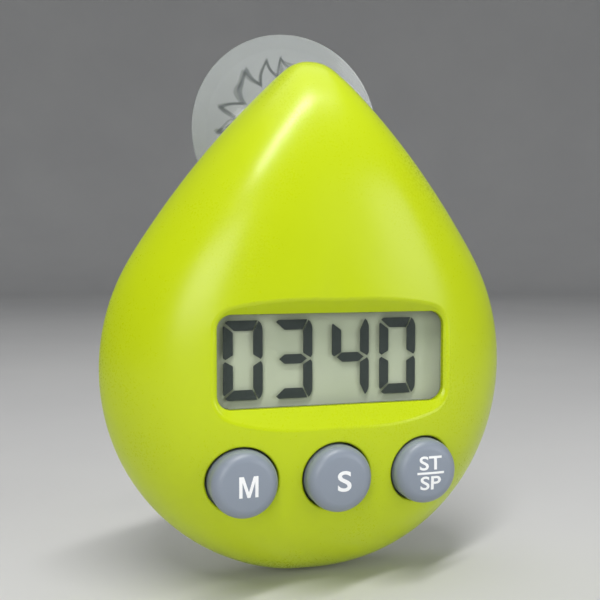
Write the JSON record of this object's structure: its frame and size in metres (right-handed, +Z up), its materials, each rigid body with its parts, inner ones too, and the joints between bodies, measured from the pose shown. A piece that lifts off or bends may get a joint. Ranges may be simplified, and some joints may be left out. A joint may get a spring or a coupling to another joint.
{
  "type": "digital kitchen timer",
  "caption": "Drop-shaped digital kitchen timer with a small display, round push buttons and a suction cup it hangs and swivels from.",
  "frame": {"origin": "centre of the suction cup's rim, on the wall plane", "axes": "+Z up, +Y into the wall, the display and buttons face -Y, +X to the right as seen from the front"},
  "size_m": [0.0794, 0.0368, 0.1067],
  "materials": {
    "lime_shell": "satin moulded lime green",
    "lime_cover": "satin moulded lime green",
    "grey_keys": "satin grey",
    "lens": "clear polished",
    "lcd_glass": "clear",
    "reflector": "matte grey green film",
    "black_plastic": "fine matte",
    "white_plastic": "fine matte",
    "silicone_black": "matte",
    "silicone_grey": "matte",
    "clear_pvc": "clear soft",
    "steel": "brushed",
    "brass": "satin",
    "ceramic": "silvered",
    "board": "solder-mask green",
    "epoxy": "glossy drop",
    "lcd_ink": "dark display segments",
    "legend_ink": "white printed legend",
    "tape": "foam",
    "wire": "insulated"
  },
  "bodies": {
    "cup": {"suction_cup": "clear_pvc"},
    "case": {"front_shell": "lime_shell", "rear_cover": "lime_cover", "case_seal": "silicone_grey", "battery_cell": "steel", "contact_negative": "steel", "contact_positive": "steel", "display_lens": "lens", "lens_tape": "tape", "lcd_front_glass": "lcd_glass", "lcd_crystal_layer": "lcd_ink", "lcd_rear_glass": "lcd_glass", "lcd_reflector": "reflector", "lcd_frame": "white_plastic", "zebra_strips": "silicone_grey", "circuit_board": "board", "chip_blob": "epoxy", "crystal_can": "steel", "chip_resistors": "black_plastic", "chip_capacitors": "ceramic", "switch_bases": "black_plastic", "snap_domes": "steel", "case_screws": "steel", "board_screws": "steel", "sounder_plate": "brass", "sounder_ceramic": "ceramic", "battery_wires": "wire", "sounder_wires": "wire"},
    "door": {"battery_door": "lime_cover", "door_oring": "silicone_black"},
    "minute_key": {"minute_button": "grey_keys", "minute_plunger": "white_plastic"},
    "second_key": {"second_button": "grey_keys", "second_plunger": "white_plastic"},
    "start_stop_key": {"start_stop_button": "grey_keys", "start_stop_plunger": "white_plastic"}
  },
  "joints": [
    {"name": "cup_swivel", "type": "hinge", "parent": "cup", "child": "case", "pos_m": [0, -0.0095, 0], "axis": [0, 1, 0], "continuous": true},
    {"name": "minute_press", "type": "slide", "parent": "case", "child": "minute_key", "axis": [0, 1, 0], "range_m": [0, 0.0005], "stiffness_N_per_m": 2000, "springref_m": -0.0003},
    {"name": "second_press", "type": "slide", "parent": "case", "child": "second_key", "axis": [0, 1, 0], "range_m": [0, 0.0005], "stiffness_N_per_m": 2000, "springref_m": -0.0003},
    {"name": "start_stop_press", "type": "slide", "parent": "case", "child": "start_stop_key", "axis": [0, 1, 0], "range_m": [0, 0.0005], "stiffness_N_per_m": 2000, "springref_m": -0.0003},
    {"name": "door_turn", "type": "hinge", "parent": "case", "child": "door", "pos_m": [0, -0.0092, -0.06], "axis": [0, -1, 0], "range_deg": [0, 40]}
  ]
}
